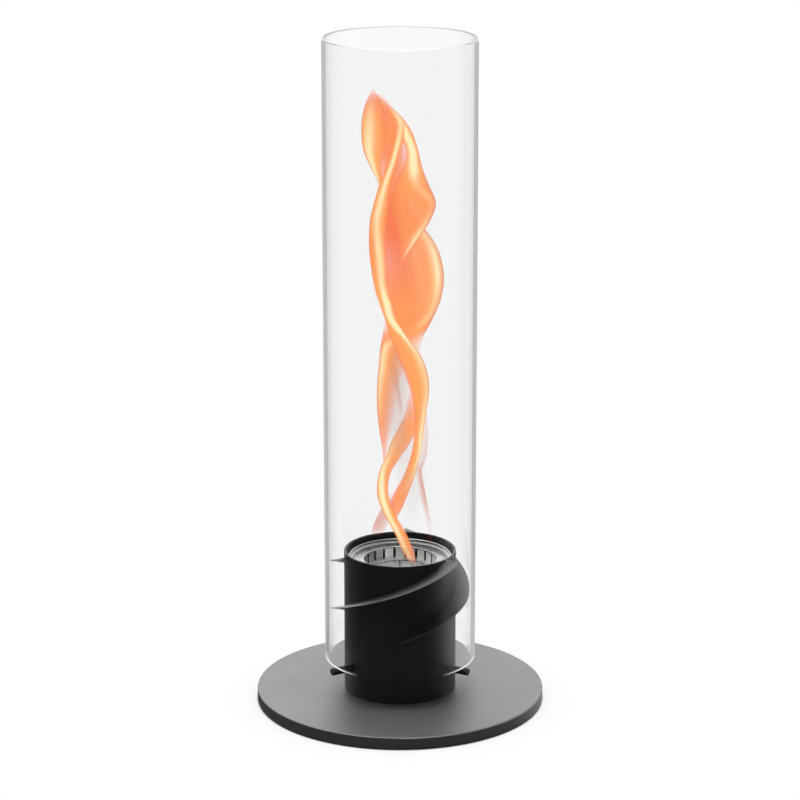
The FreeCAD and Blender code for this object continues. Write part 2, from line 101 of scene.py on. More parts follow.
class Finish:
    """A tree of shader nodes: a piece's material, the floor's or the world's."""

    def __init__(self, owner):
        owner.use_nodes = True
        self.owner = owner
        self.tree = owner.node_tree
        self.surface = self.tree.nodes.get("Principled BSDF")

    def node(self, kind, settings=None, sockets=None, out=0):
        """Adds a node, sets it up, fills or links its sockets, and gives one of its outputs."""
        made = self.tree.nodes.new("ShaderNode" + kind)
        for name, setting in (settings or {}).items():
            setattr(made, name, setting)
        for name, value in (sockets or {}).items():
            self.join(made.inputs[name], value)
        return Value(self, made.outputs[out])

    def join(self, socket, value):
        if isinstance(value, Value):
            self.tree.links.new(value.socket, socket)
        elif socket.type == "RGBA":
            socket.default_value = (*value, 1.0)
        else:
            socket.default_value = value

    def set(self, **values):
        """Fills or links the surface's sockets, with _ for a space in their names."""
        for name, value in values.items():
            self.join(self.surface.inputs[name.replace("_", " ")], value)

    def others(self, value, *names):
        """More outputs of the node that a value comes from."""
        outputs = value.socket.node.outputs
        return [Value(self, outputs[name]) for name in names]

    def place(self, scale=(1.0, 1.0, 1.0)):
        """A point's place on the object, in metres, scaled for a pattern."""
        place = self.node("TexCoord", None, None, "Object")
        return self.node("Mapping", None, {"Vector": place, "Scale": scale})

    def split(self, vector):
        return self.others(self.node("SeparateXYZ", None, {"Vector": vector}), "X", "Y", "Z")

    def noise(self, vector, scale=1.0, detail=2.0, roughness=0.5):
        return self.node(
            "TexNoise", None, {"Vector": vector, "Scale": scale, "Detail": detail, "Roughness": roughness}
        )

    def mix(self, share, first, second):
        """A colour between two others."""
        return self.node("Mix", {"data_type": "RGBA"}, {0: share, 6: first, 7: second}, 2)

    def bump(self, height, strength, distance):
        return self.node("Bump", None, {"Height": height, "Strength": strength, "Distance": distance})


def new_finish(name):
    return Finish(bpy.data.materials.new(name))


def dress(finish, *names):
    """Gives a finish to CAD pieces."""
    for name in names:
        nodes[name].data.materials.clear()
        nodes[name].data.materials.append(finish.owner)


# Finishes
def span(first, last):
    """A stretch between two places that are given in millimetres."""
    return (first * MM, last * MM)


def grey(level):
    return (level, level, level)


def reach(x, y):
    """How far a point is from the axis."""
    return (x * x + y * y).root()


def black_coat(name, dark, pale, gloss, painted_light_colour, share):
    """Satin black powder coat with a fine orange-peel grain, and painted light: paler where the share
    says so.
    """
    f = new_finish(name)
    grain = f.noise(f.place(), scale=2500.0, detail=3.0)
    cloud = f.noise(f.place(), scale=30.0, detail=4.0)
    f.set(
        # The paler colour is painted light, mixed in where the share says
        Base_Color=f.mix(share(*f.split(f.place())), f.mix(cloud, dark, pale), painted_light_colour),
        Roughness=0.40 + 0.10 * cloud + 0.06 * grain,
        IOR=gloss,
        Normal=f.bump(grain, strength=0.03, distance=0.05 * MM),
    )
    return f


RIM_EDGE = span(124.8, 125.2)
RIM_FRONT = span(-35.0, -5.0)


def rim_painted_highlight(x, y, z):
    """Painted highlight along the front of the housing's top edge."""
    # Painted highlight: a pale line on the front of the top edge
    return z.rise(*RIM_EDGE) * (1 - y.rise(*RIM_FRONT))


PLATE_FACE = span(9.2, 10.2)
PLATE_RIGHT = span(10.0, 110.0)


def plate_painted_light(x, y, z):
    """Painted light: the plate's upper face paler, as if lit from above, and half as much its side on the
    right, as if lit from that side.
    """
    # Painted light on the upper face and on the right of the side
    return (z.rise(*PLATE_FACE) + 0.5 * x.rise(*PLATE_RIGHT)).least(1.0)


VANE_BLADE = span(46.0, 55.0)
VANE_EDGE = span(54.6, 55.1)
VANE_TOP = span(85.0, 108.0)
VANE_LEFT = span(-48.0, -15.0)


def vane_painted_light(x, y, z):
    """Painted light and shade on the vanes: dark at their roots where the housing shades them, paler
    towards their edges, high up and above all on the left where more light falls, with a thin painted
    highlight along the edge.
    """
    # Painted light and shade: dark roots, paler high up, on the left and along the edge
    radius = reach(x, y)
    blade = 0.27 * z.rise(*VANE_TOP) + 0.9 * (1 - x.rise(*VANE_LEFT))
    return (radius.rise(*VANE_BLADE) * blade + 0.08 * radius.rise(*VANE_EDGE)).least(1.0)


GLASS_END = 1.2 * MM
FOOT_LIGHT = grey(0.95)
FOOT_SIDES = span(31.6, 49.0)
TOP_LIGHT = grey(0.5)
TOP_SIDES = 120.0
TOP_BACK = span(-10.0, 30.0)
CLEAR_FOOT = 1.7 * MM
CLEAR_MIDDLE = span(30.0, 43.6)
CLEAR_FRONT = span(-30.0, -10.0)


def clear_glass():
    """Clear drawn tubing with the faintest haze of handling, and painted highlights: its wall glows at
    both ends.

    The front of its foot shows no edge before the black housing, so it is fully clear.
    """
    low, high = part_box("glass_cylinder")
    f = new_finish("clear_glass")
    haze = f.noise(f.place(), scale=30.0, detail=5.0)
    f.set(
        Base_Color=(0.976, 0.978, 0.977),
        Roughness=0.006 * haze.rise(0.5, 0.85),
        Transmission_Weight=1.0,
        IOR=1.3,
    )
    x, y, z = f.split(f.place())
    foot = (1 - z.rise(low.z, low.z + GLASS_END)) * x.apart(*FOOT_SIDES)
    top = z.rise(high.z - GLASS_END, high.z) * (x * x * TOP_SIDES + 0.6 * y.rise(*TOP_BACK))
    front = (1 - x.apart(*CLEAR_MIDDLE)) * (1 - y.rise(*CLEAR_FRONT))
    unseen = (1 - z.rise(low.z, low.z + CLEAR_FOOT)) * front
    glass = Value(f, f.surface.outputs["BSDF"])
    clear = f.node("MixShader", None, {0: unseen, 1: glass, 2: f.node("BsdfTransparent")})
    # Painted highlights: the foot glows pale at both sides, and the top rim glows grey
    lit_foot = f.node("Emission", None, {"Color": FOOT_LIGHT})
    lit_top = f.node("Emission", None, {"Color": TOP_LIGHT})
    mixed = f.node("MixShader", None, {0: foot, 1: clear, 2: lit_foot})
    mixed = f.node("MixShader", None, {0: top.least(1.0), 1: mixed, 2: lit_top})
    f.join(f.tree.nodes["Material Output"].inputs["Surface"], mixed)
    f.owner.cycles.emission_sampling = "NONE"
    return f


# The near black of painted shade, and the pale steel of painted light
PAINTED_SHADE_GREY = grey(0.02)
PAINTED_LIT_STEEL = (0.74, 0.735, 0.725)
RING_LINES = 2600.0
RING_DRIFT = 30.0
TAB_COUNT = 20
TAB_FEET = span(108.4, 108.8)
TAB_TOPS = span(116.0, 116.8)
TAB_FRONTS = span(28.0, 28.4)
TAB_BACKS = span(28.6, 28.8)
TAB_SLOTS = (0.1, 0.125)
TABS_LEFT = span(-15.0, -12.5)
LID_EDGE = span(40.3, 40.8)
BEAD_INSIDE = span(38.0, 38.5)
BEAD_TOP = span(118.6, 119.4)
CAN_TOP = span(120.0, 120.5)


def spun_steel():
    """Stainless sheet with fine rings about its axis.

    It has painted light: paler on the tabs and all below their tops, in a painted highlight ring on the
    lid's bead, and a little on the can's rim. It has painted shade, near black, behind the tabs, along
    their slots and on the tabs on the left.
    """
    f = new_finish("spun_steel")
    x, y, z = f.split(f.place())
    radius = reach(x, y)
    rings = {"X": radius * RING_LINES, "Y": z * RING_LINES, "Z": (x + y) * RING_DRIFT}
    lines = f.noise(f.node("CombineXYZ", None, rings), scale=1.0, detail=2.0)
    cloud = f.noise(f.place(), scale=70.0, detail=3.0)
    low = 1 - z.rise(*TAB_TOPS)
    face = low * z.rise(*TAB_FEET) * radius.rise(*TAB_FRONTS) * (1 - radius.rise(*TAB_BACKS))
    # Painted shade: near black behind the tabs, along their slots and on the tabs on the left
    behind = low * radius.rise(*TAB_BACKS) * (1 - radius.rise(*LID_EDGE))
    turn = (y.angle(x) * (TAB_COUNT / (2 * math.pi))).fraction() - 0.5
    slots = face * (1 - turn.apart(*TAB_SLOTS))
    left = 0.6 * face * (1 - x.rise(*TABS_LEFT))
    painted_shade = (behind + slots + left).least(1.0)
    # Painted light: pale on the tabs and below their tops, a painted highlight ring on the bead, a little
    # on the can's rim
    bead_highlight = radius.rise(*BEAD_INSIDE) * (1 - z.rise(*BEAD_TOP))
    bright = (low + bead_highlight + 0.35 * z.rise(*CAN_TOP)).least(1.0)
    sheet = f.mix(cloud, grey(0.24), (0.30, 0.298, 0.295))
    f.set(
        Base_Color=f.mix(painted_shade, f.mix(bright, sheet, PAINTED_LIT_STEEL), PAINTED_SHADE_GREY),
        Metallic=1.0,
        Roughness=0.18 + 0.12 * lines + 0.06 * cloud + 0.18 * bright + 0.2 * bead_highlight,
        Normal=f.bump(lines, strength=0.08, distance=0.04 * MM),
    )
    return f


WIRE_UNDERSIDE_SHADE = span(106.8, 107.3)


def wire_steel():
    """Drawn stainless wire, faintly dulled by heat, with painted shade darkening it underneath."""
    f = new_finish("wire_steel")
    cloud = f.noise(f.place(), scale=200.0, detail=3.0)
    height = f.split(f.place())[2]
    wire_colour = f.mix(cloud, (0.80, 0.795, 0.78), (0.92, 0.915, 0.90))
    f.set(
        # Painted shade: near black on the wires' lower sides
        Base_Color=f.mix(height.rise(*WIRE_UNDERSIDE_SHADE), grey(0.04), wire_colour),
        Metallic=1.0,
        Roughness=0.22 + 0.14 * cloud,
    )
    return f


PIN_TIP = span(116.2, 116.8)


def pin_steel():
    """Grey steel rod with a bright tip."""
    f = new_finish("pin_steel")
    cloud = f.noise(f.place(), scale=500.0, detail=3.0)
    height = f.split(f.place())[2]
    rod = f.mix(cloud, grey(0.20), grey(0.30))
    f.set(
        Base_Color=f.mix(height.rise(*PIN_TIP), rod, grey(0.9)),
        Metallic=1.0,
        Roughness=0.30 + 0.15 * cloud,
    )
    return f


def zinc_plate():
    """Zinc plating with a patchy sheen."""
    f = new_finish("zinc_plate")
    cloud = f.noise(f.place(), scale=400.0, detail=4.0)
    f.set(
        Base_Color=f.mix(cloud, (0.48, 0.48, 0.50), (0.64, 0.63, 0.60)),
        Metallic=1.0,
        Roughness=0.30 + 0.18 * cloud,
    )
    return f


def foot_rubber():
    """Matte black rubber with a pebbled skin."""
    f = new_finish("foot_rubber")
    pebble = f.noise(f.place(), scale=900.0, detail=2.0)
    f.set(
        Base_Color=f.mix(pebble, grey(0.014), grey(0.03)),
        Roughness=0.78 + 0.12 * pebble,
        Normal=f.bump(pebble, strength=0.3, distance=0.1 * MM),
    )
    return f


def ceramic_fibre():
    """Ceramic fibre, a mat of fine strands, made near black as painted shade for the deep gaps under the
    mesh.
    """
    f = new_finish("ceramic_fibre")
    strands = f.noise(f.place((1.0, 0.25, 1.0)), scale=600.0, detail=6.0, roughness=0.7)
    mat = f.noise(f.place(), scale=130.0, detail=5.0)
    f.set(
        # Painted shade: the dark colour stands for the shade under the mesh
        Base_Color=f.mix(mat, (0.06, 0.058, 0.055), (0.12, 0.118, 0.112)),
        Roughness=0.9 + 0.1 * strands,
        Normal=f.bump(strands, strength=0.6, distance=0.5 * MM),
    )
    return f


def sealed_cork():
    """Cork with dark flecks under a clear seal."""
    f = new_finish("sealed_cork")
    flecks = f.noise(f.place(), scale=700.0, detail=3.0)
    f.set(
        Base_Color=f.mix(flecks.rise(0.52, 0.68), (0.50, 0.33, 0.18), (0.20, 0.11, 0.05)),
        Roughness=0.45 + 0.3 * flecks,
        Normal=f.bump(flecks, strength=0.3, distance=0.2 * MM),
    )
    return f


FLAME_ORANGE = (1.0, 0.37, 0.115)
FLAME_RED = (0.93, 0.21, 0.095)
FLAME_DIM = (0.66, 0.15, 0.07)
FLAME_SMOKE = (0.52, 0.36, 0.30)
FLAME_PALE = (1.0, 0.86, 0.50)
FLAME_RIM = (0.62, 0.17, 0.06)


def flame_gas(name, inside, edge):
    """Glowing gas, by what each point of a ribbon carries: glow, thickness, redness and outline."""
    f = new_finish(name)
    gas = f.node("Attribute", {"attribute_name": "gas"}, None, "Color")
    glow, thick, red = f.split(gas)
    (rim,) = f.others(gas, "Alpha")
    wisp = f.noise(f.place((1.0, 1.0, 0.3)), scale=60.0, detail=3.0)
    lit = f.mix(glow * (0.7 + 0.6 * wisp), f.mix(red, inside, edge), FLAME_PALE)
    f.set(
        Base_Color=grey(0.0),
        Specular_IOR_Level=0.0,
        Roughness=1.0,
        Emission_Color=f.mix(rim, lit, FLAME_RIM),
        Emission_Strength=1.08,
        Alpha=thick * (0.95 + 0.3 * wisp),
    )
    return f


# Making pieces
def add_mesh(mesh, name, finish, body):
    """Makes a smooth piece of a mesh, which rides on a body."""
    mesh.shade_smooth()
    mesh.materials.append(finish.owner)
    piece = bpy.data.objects.new(name, mesh)
    scene.collection.objects.link(piece)
    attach(piece, body)
    return piece


def add_piece(bm, name, finish, body):
    bmesh.ops.recalc_face_normals(bm, faces=bm.faces)
    mesh = bpy.data.meshes.new(name)
    bm.to_mesh(mesh)
    bm.free()
    return add_mesh(mesh, name, finish, body)


# Woven mesh of the burner
WEAVE_PITCH = 2.4 * MM
WEAVE_RADIUS = 24.0 * MM
WEAVE_TURN = math.radians(-20.0)
PORT_RADIUS = 4.9 * MM
WIRE_RADIUS = 0.55 * MM

# Each set of wires: how thick it is and how far it waves, as shares of the wire's radius
THIN_WIRE_SHARES = (0.15, 1.1)
THICK_WIRE_SHARES = (1.0, 0.3)


def wire_runs(offset):
    """The ends of a wire, or of its two halves where the port cuts it."""
    outer = math.sqrt(WEAVE_RADIUS ** 2 - offset ** 2)
    if abs(offset) >= PORT_RADIUS:
        return [(-outer, outer)]
    inner = math.sqrt(PORT_RADIUS ** 2 - offset ** 2)
    return [(-outer, -inner), (inner, outer)]


def woven_mesh(finish):
    """Thin wires woven over and under thick ones, in one disc with a round port."""
    low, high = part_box("burner_mesh")
    middle = (low.z + high.z) / 2
    curve = bpy.data.curves.new("woven_mesh", "CURVE")
    curve.dimensions = "3D"
    curve.bevel_depth = WIRE_RADIUS
    curve.bevel_resolution = 1
    curve.resolution_u = 3
    curve.use_fill_caps = True
    count = int(WEAVE_RADIUS / WEAVE_PITCH)
    for across, (thickness, wave) in enumerate((THIN_WIRE_SHARES, THICK_WIRE_SHARES)):
        turn = Matrix.Rotation(WEAVE_TURN + across * math.pi / 2, 3, "Z")
        for row in range(-count, count + 1):
            for start, end in wire_runs(row * WEAVE_PITCH):
                first = math.ceil(start / WEAVE_PITCH)
                last = math.floor(end / WEAVE_PITCH)
                spline = curve.splines.new("NURBS")
                spline.points.add(last - first)
                for point, column in zip(spline.points, range(first, last + 1)):
                    over = 1 if (row + column + across) % 2 else -1
                    at = turn @ Vector((column * WEAVE_PITCH, row * WEAVE_PITCH, 0.0))
                    point.co = (at.x, at.y, middle + over * WIRE_RADIUS * wave, 1.0)
                    point.radius = thickness
                spline.order_u = 3
                spline.use_endpoint_u = True
    shape = bpy.data.objects.new("woven_mesh_line", curve)
    mesh = bpy.data.meshes.new_from_object(shape)
    bpy.data.objects.remove(shape)
    bpy.data.curves.remove(curve)
    piece = add_mesh(mesh, "woven_mesh", finish, "burner")
    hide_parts("burner_mesh")


# Packed wool in the can
WOOL_STEPS = 72
WOOL_CUTS = 16
WOOL_BORE = 5.7 * MM
WOOL_LUMP = 1.3 * MM
LUMPS_PER_METRE = 160.0
PLAIN_BORE_SHARE = 1.2
PLAIN_HEIGHT_SHARE = 0.45


def packed_wool(finish):
    """A lumpy ring of fibre, packed into the can round the float's tube."""
    low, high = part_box("ceramic_wool")
    outline = [(WOOL_BORE, low.z), (high.x, low.z), (high.x, high.z), (WOOL_BORE, high.z)]
    bm = bmesh.new()
    corners = [bm.verts.new((radius, 0.0, height)) for radius, height in outline]
    edges = [bm.edges.new(pair) for pair in zip(corners, corners[1:] + corners[:1])]
    bmesh.ops.subdivide_edges(bm, edges=edges, cuts=WOOL_CUTS)
    bmesh.ops.spin(
        bm, geom=bm.verts[:] + bm.edges[:], axis=(0, 0, 1), cent=(0, 0, 0),
        angle=2 * math.pi, steps=WOOL_STEPS, use_merge=True,
    )
    middle = (low.z + high.z) / 2
    for vertex in bm.verts:
        lumpy = noise.fractal(vertex.co * LUMPS_PER_METRE, 1.0, 2.0, 4)
        lump = WOOL_LUMP * max((lumpy + 1.0) / 2, 0.0)
        radius = vertex.co.xy.length
        if radius > WOOL_BORE * PLAIN_BORE_SHARE:
            vertex.co.xy *= 1 - lump / radius
        if abs(vertex.co.z - middle) > (high.z - low.z) * PLAIN_HEIGHT_SHARE:
            vertex.co.z -= math.copysign(lump, vertex.co.z - middle)
    piece = add_piece(bm, "packed_wool", finish, "burner")
    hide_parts("ceramic_wool")


# Flame
RIBBON_SIDES = 28
RIBBON_STEPS = 14
RIBBON_HALF_THICKNESS = 1.0
NARROWEST_HALF = 0.3

# How far the camera's lines of sight fall for each millimetre of depth: on the floor, and less
# for each millimetre of height
SIGHT_FALL = 0.392
SIGHT_FALL_LESS = 0.000435

# How far off the axis a ribbon has its outlined edge wholly on that side
OUTLINE_ACROSS = 6.0

# Outer shares of a ribbon's half width
EDGE_SHARE = 0.2
OUTLINE_SHARE = 0.14
SOFT_EDGE_SHARE = 0.6

# How wide the pale glow is, and the share of the half width that it keeps to
GLOW_WIDTH = 4.0
GLOW_SHARE = 0.42

# Each row, in millimetres: height as the camera sees it on the middle plane, across, depth, half
# width as seen from the front, turn in degrees, where the pale glow lies across the ribbon
# (-1 to 1), how strong it is, thickness of the gas (0 to 1), redness
Row = namedtuple("Row", "height across depth half turn side glow thick red")

FRONT_STRAND = [
    (112, 11.0, -7, 1.4, 10, -0.2, 0.3, 0.02, 0.4),
    (121, 7.2, -9, 4.2, 10, -0.3, 0.5, 0.45, 0.3),
    (138, 0.5, -12, 4.6, 5, -0.4, 0.9, 0.74, 0.0),
    (152, -6.9, -12, 4.4, 0, -0.3, 1.3, 0.85, 0.0),
    (165, -12.1, -10, 4.7, -10, -0.15, 1.5, 0.85, 0.0),
    (175, -13.7, -7, 4.5, -20, -0.1, 1.4, 0.85, 0.0),
    (189, -11.6, -3, 4.6, -20, -0.4, 0.9, 0.8, 0.0),
    (202, -5.0, 2, 6.0, -10, -0.7, 0.5, 0.75, 0.05),
    (214, 1.0, 6, 8.0, 0, -0.8, 0.3, 0.75, 0.1),
    (226, 7.0, 9, 8.0, 10, -0.8, 0.1, 0.75, 0.2),
    (240, 11.0, 11, 7.0, 20, 0.0, 0.0, 0.5, 0.5),
    (256, 12.0, 10, 5.0, 20, 0.0, 0.0, 0.1, 0.9),
]
LONG_STRAND = [
    (148, -6.5, 5, 2.0, 20, 0.5, 0.0, 0.25, 0.6),
    (157, -4.0, 6, 5.0, 20, 0.5, 0.0, 0.6, 0.5),
    (171, 0.5, 6, 6.2, 30, 0.5, 0.0, 0.75, 0.25),
    (187, 7.5, 4, 4.9, 40, 0.5, 0.5, 0.8, 0.1),
    (203, 12.2, 1, 4.0, 50, 0.6, 0.9, 0.85, 0.0),
    (219, 14.6, -2, 3.7, 55, 0.3, 1.0, 0.85, 0.0),
    (236, 16.0, -5, 4.5, 50, 0.4, 0.7, 0.85, 0.0),
    (254, 15.6, -8, 7.2, 35, 0.7, 0.5, 0.85, 0.0),
    (269, 12.6, -11, 8.8, 20, 0.75, 0.5, 0.85, 0.0),
    (285, 6.6, -13, 9.0, 5, 0.9, 0.8, 0.85, 0.0),
    (299, -1.0, -12, 6.8, -10, 0.85, 1.2, 0.85, 0.0),
    (313, -6.8, -9, 4.9, -25, 0.1, 2.2, 0.85, 0.0),
    (326, -10.8, -6, 5.2, -35, 0.2, 1.5, 0.85, 0.0),
    (340, -14.5, -2, 5.6, -40, 0.2, 0.8, 0.85, 0.05),
    (364, -17.0, 1, 6.8, -45, 0.25, 0.8, 0.85, 0.25),
    (388, -16.6, 0, 7.0, -40, -0.15, 0.75, 0.85, 0.2),
    (405, -14.2, -4, 5.8, -30, -0.1, 0.8, 0.85, 0.1),
    (420, -11.2, -8, 4.2, -20, 0.0, 0.9, 0.85, 0.0),
    (437, -5.6, -10, 3.4, -10, 0.0, 1.0, 0.85, 0.0),
    (454, -1.2, -9, 3.6, 0, 0.0, 1.0, 0.7, 0.0),
    (465, 0.2, -6, 3.6, 10, 0.0, 0.8, 0.35, 0.0),
    (474, -1.0, -3, 3.0, 20, 0.0, 0.4, 0.03, 0.1),
]
LEFT_STRAND = [
    (192, -12.0, 8, 1.0, 20, -0.5, 0.0, 0.1, 0.8),
    (206, -12.0, 9, 1.7, 20, -0.8, 0.0, 0.4, 0.8),
    (224, -11.6, 10, 4.8, 15, -0.9, 0.1, 0.66, 0.6),
    (244, -10.6, 10, 7.6, 10, -0.9, 0.4, 0.82, 0.3),
    (262, -9.2, 10, 8.8, 5, -0.9, 0.7, 0.88, 0.18),
    (275, -5.4, 10, 11.4, 0, -0.9, 0.9, 0.88, 0.1),
    (288, -0.2, 10, 15.6, -5, -0.85, 0.8, 0.85, 0.1),
    (299, 2.0, 10, 16.0, -5, -0.3, 0.3, 0.85, 0.1),
    (310, 5.6, 9, 17.7, -10, 0.6, 0.3, 0.85, 0.1),
    (321, 10.2, 8, 18.3, -12, 0.9, 0.5, 0.8, 0.1),
    (332, 12.8, 6, 19.4, -15, 0.85, 0.6, 0.8, 0.1),
    (348, 14.0, 3, 20.0, -20, 0.8, 0.9, 0.8, 0.15),
    (364, 12.0, 2, 19.6, -20, 0.8, 0.9, 0.75, 0.25),
    (377, 6.5, 4, 19.5, -15, 0.85, 0.7, 0.7, 0.3),
    (390, 0.0, 7, 16.0, -10, 0.85, 0.4, 0.6, 0.5),
    (404, -5.0, 9, 9.0, 0, 0.5, 0.2, 0.4, 0.7),
    (416, -8.0, 10, 4.0, 0, 0.5, 0.0, 0.1, 0.9),
]
UPPER_STRAND = [
    (358, 0.5, -7, 1.5, 0, 0.7, 0.3, 0.05, 0.6),
    (366, 2.6, -9, 3.4, 0, 0.8, 0.8, 0.4, 0.4),
    (377, 6.0, -10, 7.6, 0, 0.85, 0.9, 0.7, 0.3),
    (389, 8.0, -10, 14.0, 5, 0.9, 0.6, 0.8, 0.35),
    (404, 9.2, -8, 18.4, 15, 0.95, 0.4, 0.85, 0.3),
    (419, 8.4, -5, 13.6, 25, 0.3, 0.35, 0.85, 0.15),
    (433, 9.2, -2, 7.8, 30, 0.1, 1.3, 0.85, 0.0),
    (447, 9.0, 0, 4.8, 30, 0.0, 2.2, 0.85, 0.0),
    (461, 3.6, 2, 5.4, 20, 0.0, 1.8, 0.85, 0.0),
    (473, -4.5, 2, 5.4, 10, 0.4, 0.8, 0.75, 0.05),
    (482, -12.6, 1, 4.0, 0, 0.4, 0.3, 0.5, 0.4),
    (490, -18.0, 0, 1.5, 0, 0.0, 0.0, 0.08, 0.8),
]
TOP_LOBE = [
    (416, -13.6, 3, 0.6, 0, -0.5, 0.4, 0.6, 0.0),
    (422, -15.0, 2, 1.8, 0, -0.5, 0.7, 0.8, 0.0),
    (434, -18.4, 0, 4.4, 5, -0.5, 0.9, 0.85, 0.0),
    (446, -19.8, -2, 8.0, 10, -0.5, 0.9, 0.85, 0.0),
    (458, -20.0, -3, 9.4, 10, -0.4, 0.8, 0.85, 0.0),
    (470, -20.2, -3, 9.0, 5, -0.3, 0.6, 0.8, 0.1),
    (480, -20.0, -2, 7.2, 0, -0.3, 0.3, 0.7, 0.4),
    (488, -20.0, -1, 4.2, 0, 0.0, 0.0, 0.42, 0.8),
    (494, -20.4, 0, 0.8, 0, 0.0, 0.0, 0.03, 1.0),
]
INNER_SHEET = [
    (296, 4.0, 4, 6.0, 0, 0.0, 0.0, 0.02, 0.3),
    (310, 3.0, 4, 13.0, 0, 0.0, 0.0, 0.7, 0.3),
    (328, 1.0, 4, 20.0, 0, 0.0, 0.0, 0.8, 0.35),
    (346, -1.0, 4, 22.0, 0, 0.0, 0.0, 0.7, 0.7),
    (365, -3.0, 3, 20.0, 0, 0.0, 0.0, 0.6, 1.0),
    (385, -4.0, 2, 18.0, 0, 0.0, 0.0, 0.85, 1.0),
    (402, -4.0, 1, 16.0, 0, 0.0, 0.0, 0.85, 0.9),
    (420, -4.0, 1, 14.0, 0, 0.0, 0.0, 0.7, 0.6),
    (440, -6.0, 1, 14.0, 0, 0.0, 0.0, 0.7, 0.7),
    (460, -9.0, 1, 14.0, 0, 0.0, 0.0, 0.85, 0.5),
    (476, -12.0, 1, 10.0, 0, 0.0, 0.0, 0.6, 0.8),
    (490, -17.0, 1, 4.0, 0, 0.0, 0.0, 0.05, 0.9),
]
LOW_WISP = [
    (112, -22.0, -2, 1.0, 0, -0.8, 0.0, 0.0, 1.0),
    (128, -19.9, -2, 3.2, 0, -0.8, 0.0, 0.01, 1.0),
    (137, -17.8, -1, 5.0, 0, -0.8, 0.0, 0.015, 1.0),
    (142, -16.3, 0, 5.7, 0, -0.8, 0.0, 0.3, 1.0),
    (148, -14.2, 2, 6.0, 0, -0.8, 0.0, 0.36, 1.0),
    (160, -9.8, 3, 5.0, 0, 0.0, 0.0, 0.3, 1.0),
    (172, -6.0, 3, 3.0, 0, 0.0, 0.0, 0.03, 1.0),
]
RIGHT_WISP = [
    (120, 25.0, 4, 1.0, 0, 0.9, 0.0, 0.0, 1.0),
    (145, 22.6, 4, 2.2, 0, 0.9, 0.0, 0.08, 1.0),
    (164, 18.9, 4, 2.6, 0, 0.9, 0.0, 0.3, 1.0),
    (174, 17.2, 4, 2.6, 0, 0.9, 0.0, 0.36, 1.0),
    (184, 15.2, 4, 2.6, 0, 0.9, 0.0, 0.36, 0.9),
    (192, 14.8, 4, 2.8, 0, 0.9, 0.0, 0.3, 0.9),
    (198, 16.8, 4, 3.2, 0, 0.9, 0.0, 0.2, 1.0),
    (206, 18.3, 4, 3.4, 0, 0.9, 0.0, 0.18, 1.0),
    (219, 19.2, 4, 3.0, 0, 0.9, 0.0, 0.14, 1.0),
    (234, 19.6, 3, 2.0, 0, 0.9, 0.0, 0.08, 1.0),
    (248, 19.6, 3, 1.0, 0, 0.9, 0.0, 0.0, 1.0),
]
MIDDLE_WISP = [
    (232, 1.4, 11, 0.8, 0, 0.9, 0.0, 0.0, 1.0),
    (240, 0.2, 11, 1.6, 0, 0.9, 0.0, 0.16, 1.0),
    (251, -1.8, 11, 2.4, 0, 0.9, 0.0, 0.26, 1.0),
    (264, -4.6, 11, 3.2, 0, 0.9, 0.0, 0.32, 0.9),
    (278, -7.5, 11, 3.2, 0, 0.9, 0.0, 0.26, 0.8),
    (292, -9.0, 11, 2.0, 0, 0.9, 0.0, 0.0, 0.8),
]
HAZE = [
    (146, 9.0, 1, 7.0, 20, 0.0, 0.0, 0.0, 0.0),
    (165, 9.0, 1, 12.0, 25, 0.0, 0.0, 0.07, 0.0),
    (185, 8.0, 1, 14.0, 30, 0.0, 0.0, 0.1, 0.0),
    (205, 4.0, 1, 14.0, 35, 0.0, 0.0, 0.12, 0.0),
    (225, -2.0, 1, 12.0, 40, 0.0, 0.0, 0.2, 0.0),
    (245, -2.0, 1, 12.0, 40, 0.0, 0.0, 0.24, 0.1),
    (270, -1.0, 1, 11.0, 35, 0.0, 0.0, 0.24, 0.3),
    (295, 0.0, 1, 9.0, 30, 0.0, 0.0, 0.15, 0.5),
    (310, 0.0, 1, 7.0, 25, 0.0, 0.0, 0.0, 0.5),
]


def between(rows, share):
    """A row on a smooth line through rows, at a share of the way along."""
    last = len(rows) - 1
    step = min(int(share * last), last - 1)
    t = share * last - step
    near = [rows[max(0, min(last, step + k))] for k in (-1, 0, 1, 2)]
    found = []
    for a, b, c, d in zip(*near):
        enter, leave = (c - a) / 2, (d - b) / 2
        bend = 2 * (b - c) + enter + leave
        found.append(b + t * (enter + t * (3 * (c - b) - 2 * enter - leave + t * bend)))
    return Row(*found)


def ribbon_half(row):
    """Half a ribbon's width at a row, along the ribbon's own turn."""
    return max(row.half, NARROWEST_HALF) / math.cos(math.radians(row.turn))


def ribbon_place(row):
    """Makes a unit circle the section of a ribbon at a row, and puts it in its place."""
    half = ribbon_half(row)
    height = row.height - row.depth * (SIGHT_FALL - SIGHT_FALL_LESS * row.height)
    return (
        Matrix.Translation(Vector((row.across, row.depth, height)) * MM)
        @ Matrix.Rotation(math.radians(row.turn), 4, "Z")
        @ Matrix.Diagonal((half * MM, min(RIBBON_HALF_THICKNESS, half / 2) * MM, MM, 1.0))
    )


def limit(value):
    return min(max(value, 0.0), 1.0)


def outside(u, share):
    """0 up to an outer share of the half width, and 1 at the edge."""
    return max(0.0, (abs(u) - 1.0 + share) / share)


